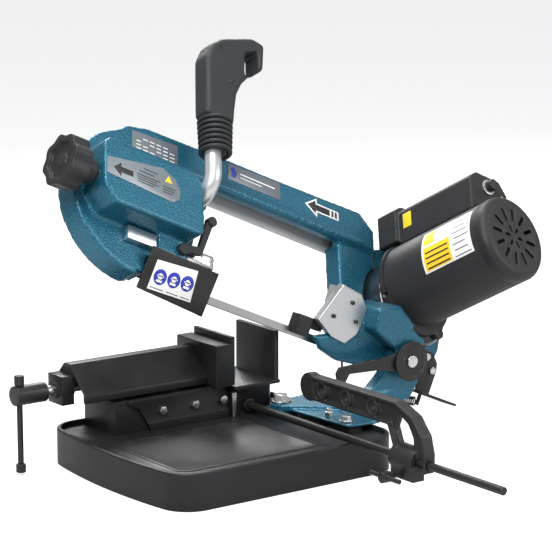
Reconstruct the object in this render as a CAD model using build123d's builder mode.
from build123d import *
import os
from math import cos, radians, sin

os.makedirs("parts", exist_ok=True)

# bow geometry
raise_angle = 23.45
tilt_angle = 31.0
hinge_x = 362.0
hinge_z = 112.5
wheel_radius = 99.25
band_radius = 100.0
band_thickness = 0.9
band_width = 13.0
band_flat = 9.0
drive_s = 21.4
idler_s = -531.6
axle_t = 100.0
motor_t = 125.0
tension_travel = 7.0

# base and vise
tray_height = 55.0
tray_floor = 47.0
vise_y = 135.0
screw_z = 120.0
rod_x = 107.0
rod_z = 62.0
rod_radius = 6.0
pivot_x = 150.0
pivot_y = 50.0

# clearances
moving_gap = 0.3
running_gap = 0.05

along = Vector(cos(radians(raise_angle)), 0, -sin(radians(raise_angle)))
bow_up = Vector(sin(radians(raise_angle)), 0, cos(radians(raise_angle)))
axle_dir = Vector(0, -cos(radians(tilt_angle)), 0) + bow_up * sin(radians(tilt_angle))
rise_dir = Vector(0, sin(radians(tilt_angle)), 0) + bow_up * cos(radians(tilt_angle))
bow_origin = Vector(354.6, 50.0, 95.4)
hinge_u = 18.6
axle_axis = Axis((0, 0, 0), tuple(axle_dir))

# wheel plane: x along the blade, y across the wheels, z along the axles towards the front
wheel_plane = Plane(origin=bow_origin, x_dir=along, z_dir=axle_dir)
# guide plane: x along the blade, y square to the blade, z towards the front
guide_plane = Plane(origin=bow_origin, x_dir=along, z_dir=(0, -1, 0))
# front plane: x and z of the machine, looking along +Y
front_plane = Plane(origin=(0, 0, 0), x_dir=(1, 0, 0), z_dir=(0, -1, 0))
# end plane: y and z of the machine, looking along -X
end_plane = Plane(origin=(0, 0, 0), x_dir=(0, 1, 0), z_dir=(1, 0, 0))


def at_depth(y):
    return guide_plane.offset(50.0 - y)


def at_front(y):
    return front_plane.offset(-y)


# ---- base ----
with BuildPart() as base_tray:
    with BuildSketch(Plane.XY) as tray_outline:
        with BuildLine():
            ThreePointArc((-188, -180), (-206, 1.5), (-188, 183))
            Line((-188, 183), (206, 183))
            Line((206, 183), (206, -180))
            Line((206, -180), (-188, -180))
        make_face()
        fillet(tray_outline.vertices(), radius=48)
    extrude(amount=tray_height)
    fillet(base_tray.faces().sort_by(Axis.Z)[-1].edges(), radius=3)
    with BuildSketch(Plane.XY.offset(tray_floor)):
        add(tray_outline.sketch)
        offset(amount=-6, mode=Mode.REPLACE)
    extrude(amount=tray_height, mode=Mode.SUBTRACT)
    with BuildSketch(Plane.XY.offset(4)):
        add(tray_outline.sketch)
        offset(amount=-5, mode=Mode.REPLACE)
    extrude(amount=tray_floor - 9, mode=Mode.SUBTRACT)
    with BuildSketch(Plane.XY):
        add(tray_outline.sketch)
        offset(amount=-46, mode=Mode.REPLACE)
    extrude(amount=4, mode=Mode.SUBTRACT)
    with BuildSketch(Plane.XY):
        with GridLocations(304, 296, 2, 2):
            Circle(4.5)
    extrude(amount=4, mode=Mode.SUBTRACT)
    # pressed step round the cutting area
    with BuildSketch(Plane.XY.offset(tray_floor)):
        with Locations((-40, -45)):
            RectangleRounded(250, 190, 20)
        with Locations((-40, -45)):
            RectangleRounded(242, 182, 16, mode=Mode.SUBTRACT)
    extrude(amount=1.2)
    # pad under the swivel plate lock
    with BuildSketch(Plane.XY.offset(tray_floor)):
        with Locations((172, -90)):
            Rectangle(24, 40)
    extrude(amount=8.5)

with BuildPart() as vise_bed:
    with BuildSketch(Plane.XY.offset(tray_floor)):
        with Locations(((-130 + 72) / 2, 131)):
            Rectangle(202, 88)
    extrude(amount=51)
    with BuildSketch(Plane.XY.offset(tray_floor)):
        Polygon((72, 87), (88, 87), (88, 80), (150, 80), (160, 90), (160, 175), (72, 175), align=None)
    extrude(amount=46)
    with BuildSketch(Plane.XY.offset(tray_floor)):
        with Locations((-29, 131)):
            Rectangle(170, 60)
        with Locations((122, 131)):
            Rectangle(60, 60)
    extrude(amount=36, mode=Mode.SUBTRACT)
    with BuildSketch(at_front(75)):
        with Locations((rod_x, rod_z)):
            Circle(rod_radius + running_gap)
    extrude(amount=-22, mode=Mode.SUBTRACT)

with BuildPart() as vise_rail:
    with BuildSketch(at_front(81)):
        Polygon((-70, 47), (71.7, 47), (71.7, 98), (-109, 98), (-109, 92), (-92, 84), (-80, 66), align=None)
    extrude(amount=-6)
    with BuildSketch(at_front(81)):
        Polygon((-72, 47), (71.7, 47), (71.7, 60), (-76, 60), align=None)
    extrude(amount=2.5)

with BuildPart() as fixed_jaw:
    with BuildSketch(Plane.XY.offset(93)):
        Polygon((72, 60), (157, 60), (157, 175), (72, 175), align=None)
    extrude(amount=5.5)
    with BuildSketch(Plane.XY.offset(98.5)):
        Polygon((147, 62), (155.6, 62), (155.6, 165), (147, 165), align=None)
    extrude(amount=78.5)
    with BuildSketch(Plane.XY.offset(86)):
        Polygon((74, 74), (86, 74), (86, 80), (74, 80), align=None)
    extrude(amount=7)

with BuildPart() as vise_bolts:
    for bolt_x in (-50, 10, 62):
        with BuildSketch(at_front(81)):
            with Locations((bolt_x, 76)):
                RegularPolygon(7, 6)
        extrude(amount=5)
    with BuildSketch(Plane.XY.offset(tray_floor)):
        with Locations((80, 76.5)):
            Circle(4.5)
    extrude(amount=39)

with BuildPart() as vise_nut:
    with BuildSketch(end_plane.offset(-95)):
        Polygon((120, 98), (150, 98), (150, 128), (144, 136), (126, 136), (120, 128), align=None)
        with Locations((vise_y, screw_z)):
            Circle(8 + moving_gap, mode=Mode.SUBTRACT)
    extrude(amount=30)

with BuildPart() as pivot_bolt:
    with BuildSketch(Plane.XY.offset(tray_floor)):
        with Locations((pivot_x, pivot_y)):
            Circle(10)
    extrude(amount=19.5)
    with BuildSketch(Plane.XY.offset(tray_floor + 19.5)):
        with Locations((pivot_x, pivot_y)):
            Circle(17)
    extrude(amount=2)
    with BuildSketch(Plane.XY.offset(tray_floor + 21.5)):
        with Locations((pivot_x, pivot_y)):
            RegularPolygon(12, 6)
    extrude(amount=9)

with BuildPart() as rod_nut:
    with BuildSketch(at_front(80)):
        with Locations((rod_x, rod_z)):
            RegularPolygon(11, 6)
            Circle(rod_radius + running_gap, mode=Mode.SUBTRACT)
    extrude(amount=9)

# ---- moving jaw ----
with BuildPart() as jaw_slide:
    with BuildSketch(end_plane.offset(-184)):
        Polygon((84, 104), (84, 115), (126, 157), (144, 157), (186, 115), (186, 104), align=None)
        Polygon((90, 104), (90, 117.5), (128.5, 151), (141.5, 151), (180, 117.5), (180, 104),
                align=None, mode=Mode.SUBTRACT)
    extrude(amount=220)

with BuildPart() as moving_jaw:
    with BuildSketch(Plane.XY.offset(101)):
        Polygon((36, 60), (66, 60), (66, 168), (36, 168), align=None)
    extrude(amount=66)
    fillet(moving_jaw.edges().filter_by(Axis.Y), radius=2.5)
    with BuildSketch(Plane.XY.offset(101)):
        Polygon((66, 63), (72.5, 63), (72.5, 165), (66, 165), align=None)
    extrude(amount=76)

with BuildPart() as thrust_block:
    with BuildSketch(end_plane.offset(-205)):
        with Locations((vise_y, 120.5)):
            Rectangle(40, 44)
    extrude(amount=21)
    with BuildSketch(end_plane.offset(-205)):
        with Locations((vise_y, screw_z)):
            Circle(14)
    extrude(amount=-5)
    with BuildSketch(end_plane.offset(-215)):
        with Locations((vise_y, screw_z)):
            Circle(8 + moving_gap)
    extrude(amount=40, mode=Mode.SUBTRACT)

with BuildPart() as vise_screw:
    with BuildSketch(end_plane.offset(-223)):
        with Locations((vise_y, screw_z)):
            Circle(8)
    extrude(amount=223)
    with BuildSketch(end_plane.offset(-183.7)):
        with Locations((vise_y, screw_z)):
            Circle(13)
    extrude(amount=6)

with BuildPart() as screw_hub:
    with BuildSketch(end_plane.offset(-276)):
        with Locations((vise_y, screw_z)):
            Circle(15)
    extrude(amount=53)
    fillet(screw_hub.edges(), radius=2)
    with BuildSketch(Plane.XY.offset(90)):
        with Locations((-266, vise_y)):
            Circle(4.5 + moving_gap)
    extrude(amount=60, mode=Mode.SUBTRACT)

with BuildPart() as tommy_bar:
    with BuildSketch(Plane.XY.offset(16)):
        with Locations((-266, vise_y)):
            Circle(4.5)
    extrude(amount=119.3)

with BuildPart() as bar_knobs:
    with BuildSketch(Plane.XY.offset(135.3)):
        with Locations((-266, vise_y)):
            Circle(7.5)
    extrude(amount=15)
    with BuildSketch(Plane.XY.offset(3)):
        with Locations((-266, vise_y)):
            Circle(7.5)
    extrude(amount=13)
    fillet(bar_knobs.edges(), radius=1.5)

# ---- length stop ----
with BuildPart() as stop_rod:
    with BuildSketch(at_front(94)):
        with Locations((rod_x, rod_z)):
            Circle(rod_radius)
    extrude(amount=608)
    chamfer(stop_rod.edges(), length=1)

with BuildPart() as stop_bracket:
    with BuildSketch(end_plane.offset(rod_x - 4)):
        Polygon((-92, 142), (-292, 142), (-330, 127), (-352, 103), (-360, 76), (-358, 50), (-286, 50),
                (-290, 74), (-276, 106), (-100, 106), align=None)
    extrude(amount=8)
    # flange all round the edge
    with BuildSketch(end_plane.offset(rod_x - 10)):
        Polygon((-92, 142), (-292, 142), (-330, 127), (-352, 103), (-360, 76), (-358, 50), (-286, 50),
                (-290, 74), (-276, 106), (-100, 106), align=None)
        Polygon((-97, 137), (-291, 137), (-326.5, 123), (-347.5, 100), (-355, 76), (-353.5, 55), (-291.5, 55),
                (-295.2, 75), (-279, 111), (-105, 111), align=None, mode=Mode.SUBTRACT)
        with Locations((-122.4, 124.5), (-178.5, 124), (-240, 124)):
            Circle(13.2)
    extrude(amount=20)
    with BuildSketch(end_plane.offset(rod_x - 9)):
        with Locations((-90, 124.4)):
            Circle(21.5)
    extrude(amount=14)
    # collar on the rod and its split clamp foot
    with BuildSketch(at_front(-286)):
        with Locations((rod_x, rod_z)):
            Circle(17)
        with Locations((rod_x, 44)):
            Rectangle(22, 22)
    extrude(amount=50)
    with BuildSketch(end_plane.offset(rod_x - 25)):
        with Locations((-122.4, 124.5), (-178.5, 124), (-240, 124)):
            Circle(9)
        Polygon((-297, 123), (-315, 113), (-326, 96), (-328, 84), (-300, 84), (-288, 100), align=None)
    extrude(amount=50, mode=Mode.SUBTRACT)
    with BuildSketch(at_front(-270)):
        with Locations((rod_x, rod_z)):
            Circle(rod_radius + running_gap)
        with Locations((rod_x, 43)):
            Rectangle(2.4, 34)
    extrude(amount=100, mode=Mode.SUBTRACT)
    with BuildSketch(end_plane.offset(rod_x - 25)):
        with Locations((-311, 42)):
            Circle(4 + moving_gap)
    extrude(amount=50, mode=Mode.SUBTRACT)

with BuildPart() as stop_clamp_screw:
    with BuildSketch(end_plane.offset(rod_x - 42)):
        with Locations((-311, 42)):
            Circle(4)
    extrude(amount=54)
    with BuildSketch(end_plane.offset(rod_x + 11.4)):
        with Locations((-311, 42)):
            RegularPolygon(7, 6)
    extrude(amount=6)
    with BuildSketch(end_plane.offset(rod_x - 48)):
        with Locations((-311, 42)):
            Circle(8)
    extrude(amount=14)
    with BuildSketch(at_front(-279)):
        with Locations((rod_x - 41, 42)):
            Circle(3.5)
    extrude(amount=64)

# ---- swivel ----
with BuildPart() as swivel_base:
    with BuildSketch(Plane.XY.offset(56.3)):
        Polygon((128, 46), (134, 28), (204, -32), (203, -116), (214, -118), (217, -40), (220, -12), (220, 1), (340, 2),
                (340, 30), (226, 34), (213, 66), (178, 62), (158, 60), (138, 57), align=None)
    extrude(amount=9.7)
    with BuildSketch(Plane.XY.offset(56.3)):
        Polygon((146, 18), (150, -20), (155, -108), (160, -115), (206, -118), (206, -30), align=None)
    extrude(amount=4)
    with BuildSketch(Plane.XY.offset(56.3)):
        with Locations((pivot_x, pivot_y)):
            Circle(27)
    extrude(amount=-9)
    with BuildSketch(at_front(2)):
        Polygon((214, 66), (236, 70), (300, 70), (300, 60), (214, 60), align=None)
    extrude(amount=-29)
    # post up to the hinge
    with BuildSketch(at_front(4.3)):
        Polygon((286, 56.3), (286, 64), (301, 74), (319, 90), (341, 118), (385, 113), (391.5, 72), (373, 46),
                (330, 46), (308, 56.3), align=None)
        with Locations((hinge_x, hinge_z)):
            Circle(23)
    extrude(amount=-23.4)
    # spring anchor lug at the back of the post
    with BuildSketch(at_front(27.7)):
        with Locations((316, 53)):
            RectangleRounded(14, 14, 3)
    extrude(amount=-17)
    with BuildSketch(Plane.XY.offset(40)):
        with Locations((pivot_x, pivot_y)):
            Circle(10 + running_gap)
    extrude(amount=40, mode=Mode.SUBTRACT)
    with BuildSketch(Plane.XY.offset(40)):
        with Locations((170, -90)):
            SlotOverall(22, 9, rotation=90)
    extrude(amount=40, mode=Mode.SUBTRACT)
    with BuildSketch(at_front(0)):
        with Locations((hinge_x, hinge_z)):
            Circle(10)
    extrude(amount=-40, mode=Mode.SUBTRACT)

with BuildPart() as angle_stop:
    with BuildSketch(Plane.XY.offset(60.3)):
        with Locations((167, -51)):
            RegularPolygon(7, 6)
    extrude(amount=8)
    with BuildSketch(Plane.XY.offset(68.3)):
        with Locations((167, -51)):
            Circle(4)
    extrude(amount=5)

with BuildPart() as swivel_lock_bolt:
    with BuildSketch(Plane.XY.offset(56.3)):
        with Locations((170, -90)):
            Circle(4)
    extrude(amount=4.3)
    with BuildSketch(Plane.XY.offset(60.6)):
        with Locations((170, -90)):
            Circle(11)
    extrude(amount=2)
    with BuildSketch(Plane.XY.offset(62.6)):
        with Locations((170, -90)):
            RegularPolygon(8, 6)
    extrude(amount=7)

with BuildPart() as hinge_shaft:
    with BuildSketch(at_front(42)):
        with Locations((hinge_x, hinge_z)):
            Circle(10)
    extrude(amount=60)
    chamfer(hinge_shaft.edges(), length=1)

with BuildPart() as hinge_cap:
    with BuildSketch(at_front(-10)):
        with Locations((hinge_x, hinge_z)):
            Circle(32)
            Circle(10, mode=Mode.SUBTRACT)
    extrude(amount=5)
    with BuildSketch(at_front(-14)):
        with Locations((hinge_x, hinge_z)):
            Circle(27)
            Circle(17, mode=Mode.SUBTRACT)
    extrude(amount=2, mode=Mode.SUBTRACT)

# ---- bow casting ----
with BuildPart() as bow_frame:
    with BuildSketch(wheel_plane.offset(-12)):
        Polygon((-575, 208), (-548, 228), (-505, 237), (-60, 247), (-30, 222), (-30, 184), (-109, 180),
                (-430, 180), (-440, 120), (-531, 100), align=None)
        with Locations((idler_s, axle_t)):
            Circle(118)
        Polygon((idler_s, -30), (-380, -30), (-380, 99), (idler_s, 99), align=None, mode=Mode.SUBTRACT)
        with Locations((idler_s + 4, axle_t)):
            Circle(111)
    extrude(amount=40)
    with BuildSketch(wheel_plane.offset(-12)):
        Polygon((-109, 182), (-109, 96), (-70, 60), (-30, 60), (-30, 184), align=None)
    extrude(amount=34)
    with BuildSketch(wheel_plane.offset(-12)):
        with Locations((drive_s, axle_t)):
            Circle(108)
    extrude(amount=27)
    # convex front lip along the lower half of the beam
    with BuildSketch(wheel_plane.offset(28)):
        Polygon((-432, 184), (-60, 184), (-60, 192), (-432, 192), align=None)
    extrude(amount=5)
    # tension housing on the front of the idler guard
    with BuildSketch(wheel_plane.offset(28)):
        Polygon((-630, 78), (-612, 53), (-448, 53), (-442, 62), (-442, 140), (-462, 158), (-620, 158),
                (-632, 146), align=None)
    extrude(amount=50)
    # clamp for the guide bar
    with BuildSketch(wheel_plane.offset(28)):
        Polygon((-505, 20), (-448, 20), (-448, 53), (-505, 53), align=None)
    extrude(amount=18)
    # handle boss
    with BuildSketch(wheel_plane.offset(28)):
        with Locations((-426, 134)):
            Circle(19)
    extrude(amount=18)
    with BuildSketch(wheel_plane.offset(-12)):
        with Locations((-426, 134)):
            Circle(19)
    extrude(amount=40)
    # hinge lug: block in front of the drive guard
    with BuildSketch(at_depth(70)):
        Polygon((-22, 26), (-84, 44), (-90, 78), (-50, 96), (20, 60), (26, 18), align=None)
        with Locations((0, hinge_u)):
            Circle(26)
    extrude(amount=76)
    # casting under the right guide
    with BuildSketch(at_depth(44)):
        Polygon((-172, 4), (-150, -12), (-110, -20), (-50, -14), (-20, 10), (-60, 50), (-108, 60), (-130, 20),
                align=None)
    extrude(amount=16)
    # tail boss
    with BuildSketch(at_depth(62)):
        Polygon((44, 10), (90, 10), (90, 34), (70, 48), (44, 48), align=None)
    extrude(amount=37)
    # room behind for the wheels and the upper run of the band
    with BuildSketch(wheel_plane.offset(-40)):
        with Locations((idler_s, axle_t), (idler_s + tension_travel, axle_t), (drive_s, axle_t)):
            Circle(104.5)
        Polygon((idler_s, 180), (drive_s, 180), (drive_s, 204.5), (idler_s, 204.5), align=None)
    extrude(amount=50, mode=Mode.SUBTRACT)
    with BuildSketch(wheel_plane.offset(-12)):
        Polygon((-700, -60), (200, -60), (200, 320), (-700, 320), align=None)
    extrude(amount=-80, mode=Mode.SUBTRACT)
    # band leaves the guards
    with BuildSketch(wheel_plane.offset(-20)):
        Polygon((-514, -40), (-380, -40), (-380, 17), (-514, 17), align=None)
    extrude(amount=80, mode=Mode.SUBTRACT)
    with BuildSketch(wheel_plane.offset(-14)):
        Polygon((-200, -12), (-10, -12), (21.4, 2), (0, 20), (-200, 22), align=None)
    extrude(amount=24, mode=Mode.SUBTRACT)
    # gear housing seat
    with BuildSketch(wheel_plane.offset(15)):
        with Locations((drive_s, axle_t)):
            Circle(76.2)
    extrude(amount=70, mode=Mode.SUBTRACT)
    with BuildSketch(wheel_plane.offset(10)):
        with Locations((drive_s, axle_t)):
            Circle(8.5 + moving_gap)
    extrude(amount=10, mode=Mode.SUBTRACT)
    # tension slide pocket and axle slot
    with BuildSketch(wheel_plane.offset(28)):
        Polygon((-622, 70), (-606, 62), (-456, 62), (-456, 142), (-468, 150), (-616, 150), (-622, 144),
                align=None)
    extrude(amount=45, mode=Mode.SUBTRACT)
    with BuildSketch(wheel_plane.offset(5)):
        with Locations((idler_s + 3, axle_t)):
            SlotOverall(24, 15)
    extrude(amount=30, mode=Mode.SUBTRACT)
    with BuildSketch(Plane(origin=wheel_plane.from_local_coords(Vector(-650, axle_t + 2, 54)),
                           x_dir=rise_dir, z_dir=along)):
        Circle(6 + moving_gap)
    extrude(amount=60, mode=Mode.SUBTRACT)
    # guide bar channel
    with BuildSketch(wheel_plane.offset(28)):
        Polygon((-620, 27.5), (-380, 27.5), (-380, 50.5), (-620, 50.5), align=None)
    extrude(amount=12.5, mode=Mode.SUBTRACT)
    # hinge bore and the slot for the post
    with BuildSketch(at_depth(28)):
        with Locations((0, hinge_u)):
            Circle(28)
    extrude(amount=24, mode=Mode.SUBTRACT)
    with BuildSketch(at_depth(60)):
        with Locations((0, hinge_u)):
            Circle(10 + running_gap)
    extrude(amount=80, mode=Mode.SUBTRACT)
    with BuildSketch(wheel_plane.offset(20)):
        with Locations((-426, 134)):
            Circle(13)
    extrude(amount=40, mode=Mode.SUBTRACT)

with BuildPart() as rear_cover:
    with BuildSketch(wheel_plane.offset(-15)):
        Polygon((-560, 205), (-500, 226), (-60, 238), (-34, 218), (-34, 174), (-430, 174), (-531, 150),
                align=None)
        with Locations((idler_s, axle_t)):
            Circle(111)
        with Locations((drive_s, axle_t)):
            Circle(104)
        Polygon((-522, -40), (-380, -40), (-380, 20), (-522, 20), align=None, mode=Mode.SUBTRACT)
        Polygon((-200, -40), (-12, -40), (16, 2), (-10, 24), (-200, 24), align=None, mode=Mode.SUBTRACT)
        with Locations((-600, 182), (-462, 215), (-250, 220), (-60, 226), (-630, 58)):
            Circle(3, mode=Mode.SUBTRACT)
    extrude(amount=3)

with BuildPart() as cover_screws:
    with BuildSketch(wheel_plane.offset(-12.2)):
        with Locations((-600, 182), (-462, 215), (-250, 220), (-60, 226), (-630, 58)):
            Circle(3)
    extrude(amount=-4.6)

with BuildPart() as stop_arm:
    with BuildSketch(at_front(-6)):
        Polygon((352, 96), (300, 106), (240, 108), (230, 93), (218, 93), (214, 112), (220, 121), (300, 124),
                (352, 130), align=None)
        with Locations((hinge_x, hinge_z)):
            Circle(22)
            Circle(10 + running_gap, mode=Mode.SUBTRACT)
    extrude(amount=3.7)
    with BuildSketch(Plane.XY.offset(120)):
        with Locations((226, -7.8)):
            Circle(1.8)
    extrude(amount=12)

with BuildPart() as tail_bracket:
    with BuildSketch(at_depth(25)):
        Polygon((46, 46), (68, 46), (84, 32), (88, 20), (88, -24), (60, -24), (54, 10), (46, 20), align=None)
    extrude(amount=5)
    with BuildSketch(at_depth(42)):
        Polygon((60, -24), (142, -24), (142, -20), (60, -20), align=None)
    extrude(amount=34)
    with BuildSketch(at_depth(40)):
        with Locations((86, -33)):
            Rectangle(5, 18)
    extrude(amount=4)

with BuildPart() as tail_bolts:
    with BuildSketch(at_depth(20)):
        with Locations((57, 36), (77, 18)):
            RegularPolygon(6.5, 6)
    extrude(amount=4.5)

spring_start = Vector(331, 38, 50.5)
spring_end = Vector(412, 38, 29.5)
spring_dir = (spring_end - spring_start).normalized()
spring_length = (spring_end - spring_start).length
with BuildPart() as counter_spring:
    with BuildLine():
        spring_path = Helix(pitch=4.4, height=spring_length, radius=6.4, center=spring_start,
                            direction=spring_dir)
    with BuildSketch(Plane(origin=spring_path @ 0, z_dir=spring_path % 0)):
        Circle(1.2)
    sweep(path=spring_path, is_frenet=True)

# ---- drive ----
with BuildPart() as gear_housing:
    with BuildSketch(wheel_plane.offset(15)):
        with Locations((drive_s, axle_t)):
            Circle(76)
    extrude(amount=42)
    fillet(gear_housing.faces().sort_by(axle_axis)[-1].edges(), radius=6)
    with BuildSketch(wheel_plane.offset(15)):
        with Locations((drive_s, axle_t)):
            Circle(70)
    extrude(amount=37, mode=Mode.SUBTRACT)
    with BuildSketch(wheel_plane.offset(50)):
        with Locations((drive_s, motor_t)):
            Circle(9)
    extrude(amount=10, mode=Mode.SUBTRACT)

with BuildPart() as gear_housing_bolts:
    with BuildSketch(wheel_plane.offset(57)):
        with Locations((-46, 86), (-24, 45), (14, 30)):
            Circle(4)
    extrude(amount=3)

with BuildPart() as motor_housing:
    with BuildSketch(wheel_plane.offset(57)):
        with Locations((drive_s, 118)):
            Circle(78)
        with Locations((70, 56)):
            Circle(11)
        Polygon((60, 50), (80, 60), (60, 100), (30, 60), align=None)
        with Locations((-46, 86), (-24, 45), (14, 30)):
            Circle(6, mode=Mode.SUBTRACT)
    extrude(amount=6)
    with BuildSketch(wheel_plane.offset(57)):
        with Locations((drive_s, motor_t)):
            Circle(70)
    extrude(amount=200)
    with BuildSketch(wheel_plane.offset(61)):
        with Locations((drive_s, motor_t)):
            Circle(63)
    extrude(amount=200, mode=Mode.SUBTRACT)
    with BuildSketch(wheel_plane.offset(50)):
        with Locations((drive_s, motor_t)):
            Circle(9)
    extrude(amount=20, mode=Mode.SUBTRACT)

with BuildPart() as motor_end_bell:
    with BuildSketch(wheel_plane.offset(257)):
        with Locations((drive_s, motor_t)):
            Circle(70)
    extrude(amount=23)
    fillet(motor_end_bell.faces().sort_by(axle_axis)[-1].edges(), radius=12)
    with BuildSketch(wheel_plane.offset(257)):
        with Locations((drive_s, motor_t)):
            Circle(60)
    extrude(amount=17, mode=Mode.SUBTRACT)
    with BuildSketch(wheel_plane.offset(270)):
        with Locations((drive_s, motor_t)):
            with PolarLocations(38, 12):
                SlotOverall(22, 6)
            with PolarLocations(14, 6):
                SlotOverall(12, 5)
    extrude(amount=20, mode=Mode.SUBTRACT)

with BuildPart() as motor_stator:
    with BuildSketch(wheel_plane.offset(100)):
        with Locations((drive_s, motor_t)):
            Circle(63)
            Circle(36, mode=Mode.SUBTRACT)
    extrude(amount=100)

with BuildPart() as motor_rotor:
    with BuildSketch(wheel_plane.offset(105)):
        with Locations((drive_s, motor_t)):
            Circle(35.4)
    extrude(amount=90)
    with BuildSketch(wheel_plane.offset(38)):
        with Locations((drive_s, motor_t)):
            Circle(4.4)
    extrude(amount=220)
    with BuildSketch(wheel_plane.offset(225)):
        with Locations((drive_s, motor_t)):
            Circle(52)
    extrude(amount=14)

with BuildPart() as intermediate_gear:
    with BuildSketch(wheel_plane.offset(20)):
        with Locations((drive_s + 13.6, axle_t + 42.9)):
            Circle(7.2)
    extrude(amount=18)
    with BuildSketch(wheel_plane.offset(38)):
        with Locations((drive_s + 13.6, axle_t + 42.9)):
            Circle(17.3)
    extrude(amount=10)

with BuildPart() as output_gear:
    with BuildSketch(wheel_plane.offset(20)):
        with Locations((drive_s, axle_t)):
            Circle(37.2)
            Circle(8.5, mode=Mode.SUBTRACT)
    extrude(amount=10)

with BuildPart() as output_shaft:
    with BuildSketch(wheel_plane.offset(-9)):
        with Locations((drive_s, axle_t)):
            Circle(8.5)
    extrude(amount=41)

with BuildPart() as drive_wheel:
    with BuildSketch(wheel_plane.offset(-7)):
        with Locations((drive_s, axle_t)):
            Circle(wheel_radius)
            Circle(8.5, mode=Mode.SUBTRACT)
    extrude(amount=14)
    with BuildSketch(wheel_plane.offset(3)):
        with Locations((drive_s, axle_t)):
            Circle(88)
            Circle(22, mode=Mode.SUBTRACT)
    extrude(amount=6, mode=Mode.SUBTRACT)
    with BuildSketch(wheel_plane.offset(-8)):
        with Locations((drive_s, axle_t)):
            Circle(88)
            Circle(22, mode=Mode.SUBTRACT)
            with PolarLocations(55, 5):
                Circle(14)
    extrude(amount=5, mode=Mode.SUBTRACT)

with BuildPart() as idler_wheel:
    with BuildSketch(wheel_plane.offset(-7)):
        with Locations((idler_s, axle_t)):
            Circle(wheel_radius)
            Circle(7 + running_gap, mode=Mode.SUBTRACT)
    extrude(amount=14)
    with BuildSketch(wheel_plane.offset(3)):
        with Locations((idler_s, axle_t)):
            Circle(88)
            Circle(20, mode=Mode.SUBTRACT)
    extrude(amount=6, mode=Mode.SUBTRACT)
    with BuildSketch(wheel_plane.offset(-8)):
        with Locations((idler_s, axle_t)):
            Circle(88)
            Circle(20, mode=Mode.SUBTRACT)
    extrude(amount=5, mode=Mode.SUBTRACT)

with BuildPart() as idler_axle:
    with BuildSketch(wheel_plane.offset(-8)):
        with Locations((idler_s, axle_t)):
            Circle(7)
    extrude(amount=44)
    with BuildSketch(wheel_plane.offset(-8)):
        with Locations((idler_s, axle_t)):
            Circle(9.5)
    extrude(amount=-2.6)

with BuildPart() as tension_slide:
    with BuildSketch(wheel_plane.offset(36)):
        Polygon((-590, 82), (-500, 82), (-500, 122), (-590, 122), align=None)
    extrude(amount=34)
    with BuildSketch(Plane(origin=wheel_plane.from_local_coords(Vector(-620, axle_t + 2, 54)),
                           x_dir=rise_dir, z_dir=along)):
        Circle(6 + moving_gap)
    extrude(amount=85, mode=Mode.SUBTRACT)

with BuildPart() as tension_screw:
    with BuildSketch(Plane(origin=wheel_plane.from_local_coords(Vector(-662, axle_t + 2, 54)),
                           x_dir=rise_dir, z_dir=along)):
        Circle(6)
    extrude(amount=112)

with BuildPart() as tension_knob:
    with BuildSketch(Plane(origin=wheel_plane.from_local_coords(Vector(-696, axle_t + 2, 54)),
                           x_dir=rise_dir, z_dir=along)):
        Circle(36)
        with PolarLocations(33, 8):
            Circle(7)
    extrude(amount=34)
    with BuildSketch(Plane(origin=wheel_plane.from_local_coords(Vector(-696, axle_t + 2, 54)),
                           x_dir=rise_dir, z_dir=along)):
        Circle(26)
    extrude(amount=8, mode=Mode.SUBTRACT)
    with BuildSketch(Plane(origin=wheel_plane.from_local_coords(Vector(-662, axle_t + 2, 54)),
                           x_dir=rise_dir, z_dir=along)):
        Circle(18)
        Circle(6, mode=Mode.SUBTRACT)
    extrude(amount=26)

with BuildPart() as switch_box:
    with BuildSketch(wheel_plane.offset(33)):
        Polygon((-28, 186), (62, 186), (62, 236), (48, 255), (-12, 255), (-28, 244), align=None)
    extrude(amount=42)
    with BuildSketch(wheel_plane.offset(75)):
        Polygon((-22, 176), (64, 176), (64, 232), (48, 252), (-6, 252), (-22, 238), align=None)
    extrude(amount=161)
    with BuildSketch(wheel_plane.offset(20)):
        with Locations((drive_s, motor_t)):
            Circle(70.1)
    extrude(amount=260, mode=Mode.SUBTRACT)
    with BuildSketch(wheel_plane.offset(20)):
        with Locations((drive_s, 118)):
            Circle(78.1)
    extrude(amount=43.2, mode=Mode.SUBTRACT)

with BuildPart() as speed_dial:
    with BuildSketch(wheel_plane.offset(236.3)):
        with Locations((19, 231)):
            Circle(13)
    extrude(amount=5)
    with BuildSketch(wheel_plane.offset(241.3)):
        with Locations((19, 231)):
            RegularPolygon(10, 10)
    extrude(amount=12)

# ---- handle ----
tube_base = wheel_plane.from_local_coords(Vector(-426, 134, 20))
tube_knee = wheel_plane.from_local_coords(Vector(-426, 134, 80))
tube_top = wheel_plane.from_local_coords(Vector(-426, 206, 80))
with BuildPart() as handle_tube:
    with BuildLine() as tube_path:
        FilletPolyline(tube_base, tube_knee, tube_top, radius=34)
    with BuildSketch(Plane(origin=tube_base, z_dir=axle_dir)):
        Circle(13)
        Circle(10.5, mode=Mode.SUBTRACT)
    sweep(path=tube_path.line)

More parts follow.
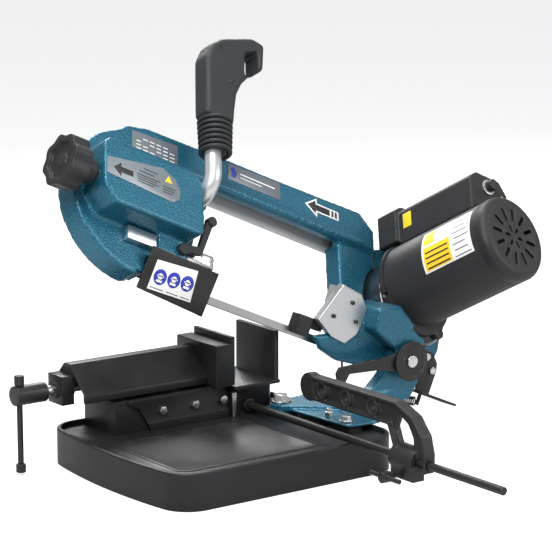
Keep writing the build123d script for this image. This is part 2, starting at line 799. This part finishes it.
with BuildPart() as grip_front_shell:
    with BuildSketch(wheel_plane.offset(80)):
        Polygon((-449, 262), (-448, 360), (-437, 386), (-416, 404), (-352, 431), (-325, 428), (-329, 380),
                (-352, 364), (-374, 338), (-386, 313), (-391, 282), (-393, 262), align=None)
    extrude(amount=18)
    chamfer(grip_front_shell.faces().sort_by(axle_axis)[-1].edges(), length=5)
    with BuildSketch(wheel_plane.offset(80)):
        Polygon((-450, 200), (-398, 200), (-393, 262), (-449, 262), align=None)
    extrude(amount=16)
    with BuildSketch(wheel_plane.offset(80)):
        Polygon((-370, 353), (-368, 396), (-341, 409), (-341, 371), align=None)
    extrude(amount=30, mode=Mode.SUBTRACT)
    with BuildSketch(wheel_plane.offset(80)):
        Polygon((-394, 366), (-366, 366), (-366, 392), (-394, 392), align=None)
    extrude(amount=6.4, mode=Mode.SUBTRACT)
    with BuildSketch(Plane(origin=wheel_plane.from_local_coords(Vector(-426, 195, 80)),
                           x_dir=along, z_dir=rise_dir)):
        Circle(13)
    extrude(amount=11, mode=Mode.SUBTRACT)

with BuildPart() as grip_rear_shell:
    with BuildSketch(wheel_plane.offset(80)):
        Polygon((-449, 262), (-448, 360), (-437, 386), (-416, 404), (-352, 431), (-325, 428), (-329, 380),
                (-352, 364), (-374, 338), (-386, 313), (-391, 282), (-393, 262), align=None)
    extrude(amount=-18)
    chamfer(grip_rear_shell.faces().sort_by(axle_axis)[0].edges(), length=5)
    with BuildSketch(wheel_plane.offset(80)):
        Polygon((-450, 200), (-398, 200), (-393, 262), (-449, 262), align=None)
    extrude(amount=-16)
    with BuildSketch(wheel_plane.offset(80)):
        Polygon((-370, 353), (-368, 396), (-341, 409), (-341, 371), align=None)
    extrude(amount=-30, mode=Mode.SUBTRACT)
    with BuildSketch(wheel_plane.offset(80)):
        Polygon((-394, 366), (-366, 366), (-366, 392), (-394, 392), align=None)
    extrude(amount=-6.4, mode=Mode.SUBTRACT)
    with BuildSketch(Plane(origin=wheel_plane.from_local_coords(Vector(-426, 195, 80)),
                           x_dir=along, z_dir=rise_dir)):
        Circle(13)
    extrude(amount=11, mode=Mode.SUBTRACT)

with BuildPart() as grip_screws:
    with BuildSketch(wheel_plane.offset(98)):
        with Locations((-420, 385), (-400, 330), (-436, 290)):
            Circle(3)
    extrude(amount=0.8)

with BuildPart() as trigger:
    with BuildSketch(wheel_plane.offset(74)):
        Polygon((-385, 368), (-364, 368), (-361, 378), (-364, 390), (-385, 390), align=None)
    extrude(amount=12)

# ---- guides and band ----
with BuildPart() as right_guide_bracket:
    with BuildSketch(at_depth(40)):
        Polygon((-176, 30), (-150, 96), (-108, 92), (-86, 70), (-92, 30), (-110, 9), (-140, 12), align=None)
    extrude(amount=15)
    with BuildSketch(at_depth(40)):
        Polygon((-150, 62), (-150, 92), (-110, 92), (-92, 62), align=None)
    extrude(amount=-20)
    with BuildSketch(wheel_plane.offset(-12)):
        Polygon((-109, 190), (-109, 96), (-70, 60), (-30, 60), (-30, 184), align=None)
    extrude(amount=34, mode=Mode.SUBTRACT)
    with BuildSketch(at_depth(90)):
        Polygon((-22, 26), (-84, 44), (-90, 78), (-50, 96), (20, 60), (26, 18), align=None)
    extrude(amount=90, mode=Mode.SUBTRACT)
    with BuildSketch(at_depth(44)):
        Polygon((-172, 4), (-150, -12), (-110, -20), (-50, -14), (-20, 10), (-60, 50), (-108, 60), (-130, 20),
                align=None)
    extrude(amount=16, mode=Mode.SUBTRACT)

with BuildPart() as right_guide_block:
    with BuildSketch(at_depth(58)):
        Polygon((-204, -1), (-178, -1), (-178, 30), (-204, 30), align=None)
    extrude(amount=24)
    with BuildSketch(at_depth(58)):
        Polygon((-178, 14), (-151, 14), (-151, 30), (-178, 30), align=None)
    extrude(amount=17.8)
    with BuildSketch(at_depth(50.8)):
        Polygon((-210, -5), (-140, -5), (-140, 8), (-210, 8), align=None)
    extrude(amount=1.6, mode=Mode.SUBTRACT)

band_centre = (idler_s + drive_s) / 2
band_outer = band_radius + band_thickness / 2
band_inner = band_radius - band_thickness / 2
guide_left = -430.0
guide_right = -150.0
with BuildPart() as saw_blade:
    with BuildSketch(wheel_plane.offset(-band_width / 2)):
        with Locations((idler_s, axle_t), (drive_s, axle_t)):
            Circle(band_outer)
            Circle(band_inner, mode=Mode.SUBTRACT)
        with Locations((band_centre, axle_t)):
            Rectangle(drive_s - idler_s, 2 * band_outer + 2, mode=Mode.SUBTRACT)
        with Locations((band_centre, axle_t + band_radius)):
            Rectangle(drive_s - idler_s, band_thickness)
    extrude(amount=band_width)
    # flat as it leaves each wheel, then twisted upright for the guides
    with BuildSketch(wheel_plane.offset(-band_width / 2)):
        Polygon((idler_s, -0.45), (idler_s + band_flat, -0.45), (idler_s + band_flat, 0.45), (idler_s, 0.45),
                align=None)
        Polygon((drive_s - band_flat, -0.45), (drive_s, -0.45), (drive_s, 0.45), (drive_s - band_flat, 0.45),
                align=None)
    extrude(amount=band_width)
    for start_s, end_s in ((idler_s + band_flat, guide_left), (drive_s - band_flat, guide_right)):
        for step in range(5):
            turn = tilt_angle + (90 - tilt_angle) * step / 4
            place = bow_origin + along * (start_s + (end_s - start_s) * step / 4)
            width_dir = Vector(0, -cos(radians(turn)), 0) + bow_up * sin(radians(turn))
            with BuildSketch(Plane(origin=place, x_dir=width_dir, z_dir=along)):
                Rectangle(band_width, band_thickness)
        loft()
    with BuildSketch(at_depth(50 + band_thickness / 2)):
        Polygon((guide_left, -6.5), (guide_right, -6.5), (guide_right, 6.5), (guide_left, 6.5), align=None)
    extrude(amount=band_thickness)

with BuildPart() as guide_arm:
    with BuildSketch(wheel_plane.offset(28.3)):
        Polygon((-558, 28), (-394, 28), (-394, 50), (-558, 50), align=None)
    extrude(amount=11.7)
    with BuildSketch(at_depth(52)):
        Polygon((-418, 34), (-394, 34), (-394, 60), (-418, 60), align=None)
    extrude(amount=16)

with BuildPart() as guide_head:
    with BuildSketch(at_depth(58)):
        Polygon((-428, -1), (-394, -1), (-394, 34), (-428, 34), align=None)
    extrude(amount=24)
    with BuildSketch(at_depth(50.8)):
        Polygon((-440, -5), (-380, -5), (-380, 8), (-440, 8), align=None)
    extrude(amount=1.6, mode=Mode.SUBTRACT)
    with BuildSketch(at_depth(34)):
        Polygon((-424, 4), (-398, 4), (-398, 28), (-424, 28), align=None)
    extrude(amount=14)

with BuildPart() as blade_guard:
    with BuildSketch(at_depth(20)):
        Polygon((-524, -20), (-396, -28), (-391, 41), (-519, 46), align=None)
    extrude(amount=2.5)
    with BuildSketch(at_depth(25)):
        Polygon((-396, -28), (-393, 15), (-395.5, 15), (-398.5, -28), align=None)
    extrude(amount=5)

with BuildPart() as guide_lock_lever:
    with BuildSketch(wheel_plane.offset(46.3)):
        with Locations((-462, 36)):
            Circle(9)
        Polygon((-466, 30), (-428, 36), (-404, 96), (-416, 100), (-434, 48), (-462, 44), align=None)
    extrude(amount=8)
    with BuildSketch(wheel_plane.offset(46.3)):
        with Locations((-409, 98)):
            Circle(8)
    extrude(amount=13)

nodes = {
    "base_tray": base_tray, "vise_bed": vise_bed, "vise_rail": vise_rail, "fixed_jaw": fixed_jaw,
    "vise_bolts": vise_bolts, "vise_nut": vise_nut, "pivot_bolt": pivot_bolt, "rod_nut": rod_nut,
    "jaw_slide": jaw_slide, "moving_jaw": moving_jaw, "thrust_block": thrust_block,
    "vise_screw": vise_screw, "screw_hub": screw_hub, "tommy_bar": tommy_bar, "bar_knobs": bar_knobs,
    "stop_rod": stop_rod, "stop_bracket": stop_bracket, "stop_clamp_screw": stop_clamp_screw,
    "swivel_base": swivel_base, "angle_stop": angle_stop, "swivel_lock_bolt": swivel_lock_bolt,
    "hinge_shaft": hinge_shaft, "hinge_cap": hinge_cap,
    "bow_frame": bow_frame, "rear_cover": rear_cover, "cover_screws": cover_screws,
    "stop_arm": stop_arm, "tail_bracket": tail_bracket, "tail_bolts": tail_bolts,
    "counter_spring": counter_spring, "gear_housing": gear_housing,
    "gear_housing_bolts": gear_housing_bolts, "motor_housing": motor_housing,
    "motor_end_bell": motor_end_bell, "motor_stator": motor_stator, "motor_rotor": motor_rotor,
    "intermediate_gear": intermediate_gear, "output_gear": output_gear, "output_shaft": output_shaft,
    "drive_wheel": drive_wheel, "idler_wheel": idler_wheel, "idler_axle": idler_axle,
    "tension_slide": tension_slide, "tension_screw": tension_screw, "tension_knob": tension_knob,
    "switch_box": switch_box, "speed_dial": speed_dial, "handle_tube": handle_tube,
    "grip_front_shell": grip_front_shell, "grip_rear_shell": grip_rear_shell,
    "grip_screws": grip_screws, "trigger": trigger, "right_guide_bracket": right_guide_bracket,
    "right_guide_block": right_guide_block, "saw_blade": saw_blade, "guide_arm": guide_arm,
    "guide_head": guide_head, "blade_guard": blade_guard, "guide_lock_lever": guide_lock_lever,
}
for name, builder in nodes.items():
    builder.part.label = name
    export_step(builder.part, f"parts/{name}.step")
